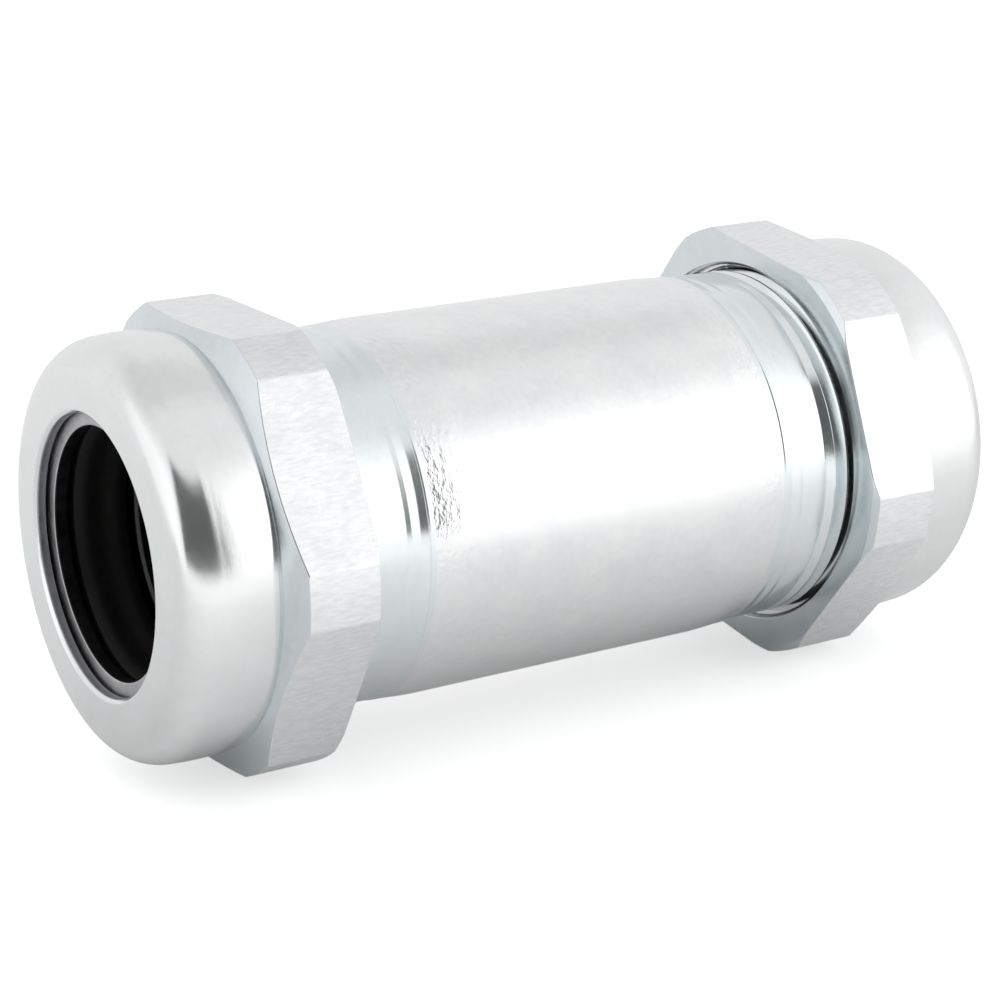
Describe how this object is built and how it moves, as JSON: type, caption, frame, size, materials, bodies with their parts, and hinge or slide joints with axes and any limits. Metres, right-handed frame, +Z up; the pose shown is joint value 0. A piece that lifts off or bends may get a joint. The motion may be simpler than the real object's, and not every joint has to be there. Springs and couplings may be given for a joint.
{
  "type": "conduit compression coupling",
  "caption": "Straight compression coupling for plain-ended steel conduit: a tube with a domed hex gland nut, washer, rubber seal and split clamping ring at each end.",
  "frame": {"origin": "middle of the whole fitting, on the axis of the bore", "axes": "+X along the bore from the left end to the right end, +Z up and square to a flat of the left nut"},
  "size_m": [0.1046, 0.0518, 0.0502],
  "materials": {
    "zinc_barrel": "bright zinc over a fine turned surface",
    "zinc_nut": "bright zinc, turned dome and grainy milled flats",
    "washer_steel": "plain zinc plated pressing",
    "clamp_steel": "dull spring steel",
    "black_rubber": "matt black moulded rubber"
  },
  "bodies": {
    "coupling": {"coupling_body": "zinc_barrel"},
    "left_washer": {"left_thrust_washer": "washer_steel"},
    "left_nut": {"left_gland_nut": "zinc_nut"},
    "left_seal": {"left_sealing_ring": "black_rubber"},
    "left_clamp": {"left_clamp_ring": "clamp_steel"},
    "right_washer": {"right_thrust_washer": "washer_steel"},
    "right_nut": {"right_gland_nut": "zinc_nut"},
    "right_seal": {"right_sealing_ring": "black_rubber"},
    "right_clamp": {"right_clamp_ring": "clamp_steel"}
  },
  "joints": [
    {"name": "left_washer_slide", "type": "slide", "parent": "coupling", "child": "left_washer", "axis": [1, 0, 0], "range_m": [-0.0068, 0.00227]},
    {"name": "left_nut_spin", "type": "hinge", "parent": "left_washer", "child": "left_nut", "pos_m": [-0.04, 0, 0], "axis": [1, 0, 0], "range_deg": [-1350, 450]},
    {"name": "left_seal_slide", "type": "slide", "parent": "coupling", "child": "left_seal", "axis": [1, 0, 0], "range_m": [-0.00544, 0.00181]},
    {"name": "left_clamp_slide", "type": "slide", "parent": "coupling", "child": "left_clamp", "axis": [1, 0, 0], "range_m": [-0.00408, 0.00136]},
    {"name": "right_washer_slide", "type": "slide", "parent": "coupling", "child": "right_washer", "axis": [-1, 0, 0], "range_m": [-0.00608, 0.00299]},
    {"name": "right_nut_spin", "type": "hinge", "parent": "right_washer", "child": "right_nut", "pos_m": [0.04, 0, 0], "axis": [-1, 0, 0], "range_deg": [-1206, 594]},
    {"name": "right_seal_slide", "type": "slide", "parent": "coupling", "child": "right_seal", "axis": [-1, 0, 0], "range_m": [-0.00486, 0.00239]},
    {"name": "right_clamp_slide", "type": "slide", "parent": "coupling", "child": "right_clamp", "axis": [-1, 0, 0], "range_m": [-0.00365, 0.0018]}
  ],
  "couplings": [
    {"joint": "left_washer_slide", "follows": "left_nut_spin", "m_per_rad": 0.00028875},
    {"joint": "left_seal_slide", "follows": "left_nut_spin", "m_per_rad": 0.000231},
    {"joint": "left_clamp_slide", "follows": "left_nut_spin", "m_per_rad": 0.00017325},
    {"joint": "right_washer_slide", "follows": "right_nut_spin", "m_per_rad": 0.00028875},
    {"joint": "right_seal_slide", "follows": "right_nut_spin", "m_per_rad": 0.000231},
    {"joint": "right_clamp_slide", "follows": "right_nut_spin", "m_per_rad": 0.00017325}
  ]
}
